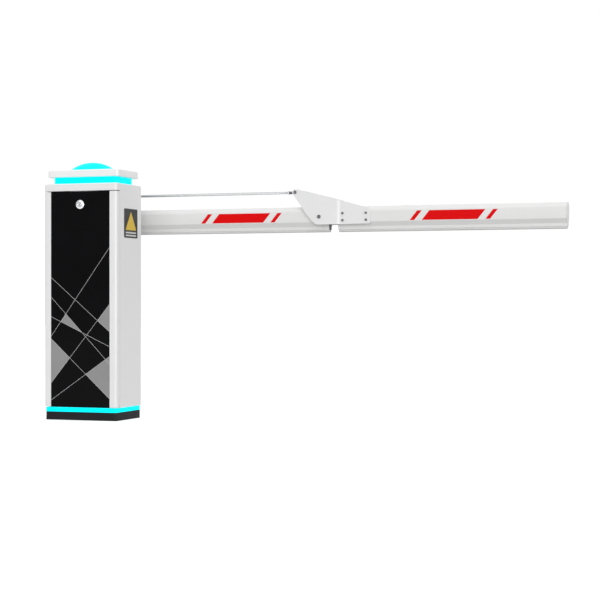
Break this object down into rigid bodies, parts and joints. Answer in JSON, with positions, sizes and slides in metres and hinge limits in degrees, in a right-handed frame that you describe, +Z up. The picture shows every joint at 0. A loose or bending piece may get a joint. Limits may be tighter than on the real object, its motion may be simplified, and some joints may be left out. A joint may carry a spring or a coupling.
{
  "type": "parking barrier gate",
  "caption": "Floor-standing barrier cabinet with an illuminated lid and a folding boom that stays level beyond its elbow as it lifts.",
  "frame": {"origin": "centre of the cabinet's underside, where it stands on the ground", "axes": "+X along the lowered boom, -Y towards the cabinet door, +Z up"},
  "size_m": [2.094, 0.3483, 1.0535],
  "materials": {
    "white_powder_coat": "fine satin powder coat",
    "white_boom_coat": "white satin coat on aluminium",
    "dark_plinth": "dark textured powder coat",
    "black_panel": "gloss black acrylic",
    "light_lens": "glowing cyan diffuser",
    "zinc_steel": "zinc plated",
    "dark_steel": "black oxide",
    "chrome": "polished",
    "cast_grey": "painted casting",
    "motor_coat": "black painted",
    "black_plastic": "moulded",
    "grey_plastic": "moulded",
    "black_rubber": "matt",
    "grey_rubber": "matt"
  },
  "bodies": {
    "cabinet": {"base_plate": "zinc_steel", "plinth_skirt": "dark_plinth", "plinth_frame": "zinc_steel", "lower_light_ring": "light_lens", "cabinet_shell": "white_powder_coat", "lock_strike": "zinc_steel", "upper_light_ring": "light_lens", "lid": "white_powder_coat", "dome_lens": "light_lens", "side_label": "black_plastic", "mounting_plate": "zinc_steel", "bearing_bridge": "zinc_steel", "front_bearing": "cast_grey", "rear_bearing": "cast_grey", "shaft_seal": "black_rubber", "gearbox": "cast_grey", "motor": "motor_coat", "down_stop": "black_rubber", "up_stop": "black_rubber", "spring_bracket": "zinc_steel", "balance_spring": "dark_steel", "control_box": "grey_plastic", "power_supply": "zinc_steel", "terminal_block": "grey_plastic", "rod_anchor_bracket": "zinc_steel", "door_hinge_left": "zinc_steel", "door_hinge_right": "zinc_steel"},
    "door": {"door_skin": "white_powder_coat", "door_panel": "black_panel", "lock_body": "chrome"},
    "lock": {"lock_plug": "chrome", "lock_cam": "zinc_steel"},
    "inner_arm": {"main_shaft": "zinc_steel", "shaft_lever": "dark_steel", "boom_hub": "dark_steel", "boom_saddle": "cast_grey", "boom_clamp": "zinc_steel", "inner_boom": "white_boom_coat", "inner_bumper": "grey_rubber", "boom_tail_cap": "black_plastic", "inner_end_cap": "black_plastic", "elbow_bush": "zinc_steel"},
    "outer_arm": {"outer_boom": "white_boom_coat", "outer_bumper": "grey_rubber", "outer_root_cap": "white_boom_coat", "outer_tip_cap": "white_boom_coat", "elbow_plate_front": "white_powder_coat", "elbow_plate_rear": "white_powder_coat", "elbow_pivot_bolt": "dark_steel", "rod_pin": "dark_steel", "splice_bolt_1": "dark_steel", "splice_bolt_2": "dark_steel", "splice_bolt_3": "dark_steel", "splice_bolt_4": "dark_steel"},
    "level_rod": {"tie_rod": "zinc_steel", "rod_end_anchor": "dark_steel", "rod_end_boom": "dark_steel"},
    "crank": {"crank_arm": "dark_steel"},
    "drive_link_body": {"drive_link": "zinc_steel"},
    "spring_link_body": {"spring_link": "zinc_steel"}
  },
  "joints": [
    {"name": "boom_lift", "type": "hinge", "parent": "cabinet", "child": "inner_arm", "pos_m": [0, 0.186, 0.8235], "axis": [0, -1, 0], "range_deg": [0, 90], "deforming": ["balance_spring"]},
    {"name": "elbow_fold", "type": "hinge", "parent": "inner_arm", "child": "outer_arm", "pos_m": [0.93, 0.186, 0.8235], "axis": [0, -1, 0], "range_deg": [-90, 0]},
    {"name": "tie_rod_swing", "type": "hinge", "parent": "cabinet", "child": "level_rod", "pos_m": [-0.102, 0.186, 0.9235], "axis": [0, -1, 0], "range_deg": [0, 90]},
    {"name": "crank_turn", "type": "hinge", "parent": "cabinet", "child": "crank", "pos_m": [0, 0.005, 0.5], "axis": [0, -1, 0], "range_deg": [0, 90]},
    {"name": "drive_link_swing", "type": "hinge", "parent": "inner_arm", "child": "drive_link_body", "pos_m": [0.04243, -0.007, 0.78107], "axis": [0, -1, 0], "range_deg": [-90, 0]},
    {"name": "spring_link_swing", "type": "hinge", "parent": "inner_arm", "child": "spring_link_body", "pos_m": [-0.04243, -0.007, 0.86593], "axis": [0, -1, 0], "range_deg": [-90, 0]},
    {"name": "door_tilt", "type": "hinge", "parent": "cabinet", "child": "door", "pos_m": [0, -0.1125, 0.065], "axis": [1, 0, 0], "range_deg": [0, 90]},
    {"name": "lock_turn", "type": "hinge", "parent": "door", "child": "lock", "pos_m": [0, -0.119, 0.8755], "axis": [0, 1, 0], "range_deg": [0, 90]}
  ],
  "couplings": [
    {"joint": "elbow_fold", "follows": "boom_lift", "ratio": -1},
    {"joint": "tie_rod_swing", "follows": "boom_lift", "ratio": 1},
    {"joint": "crank_turn", "follows": "boom_lift", "ratio": 1},
    {"joint": "drive_link_swing", "follows": "boom_lift", "ratio": -1},
    {"joint": "spring_link_swing", "follows": "boom_lift", "ratio": -1}
  ]
}
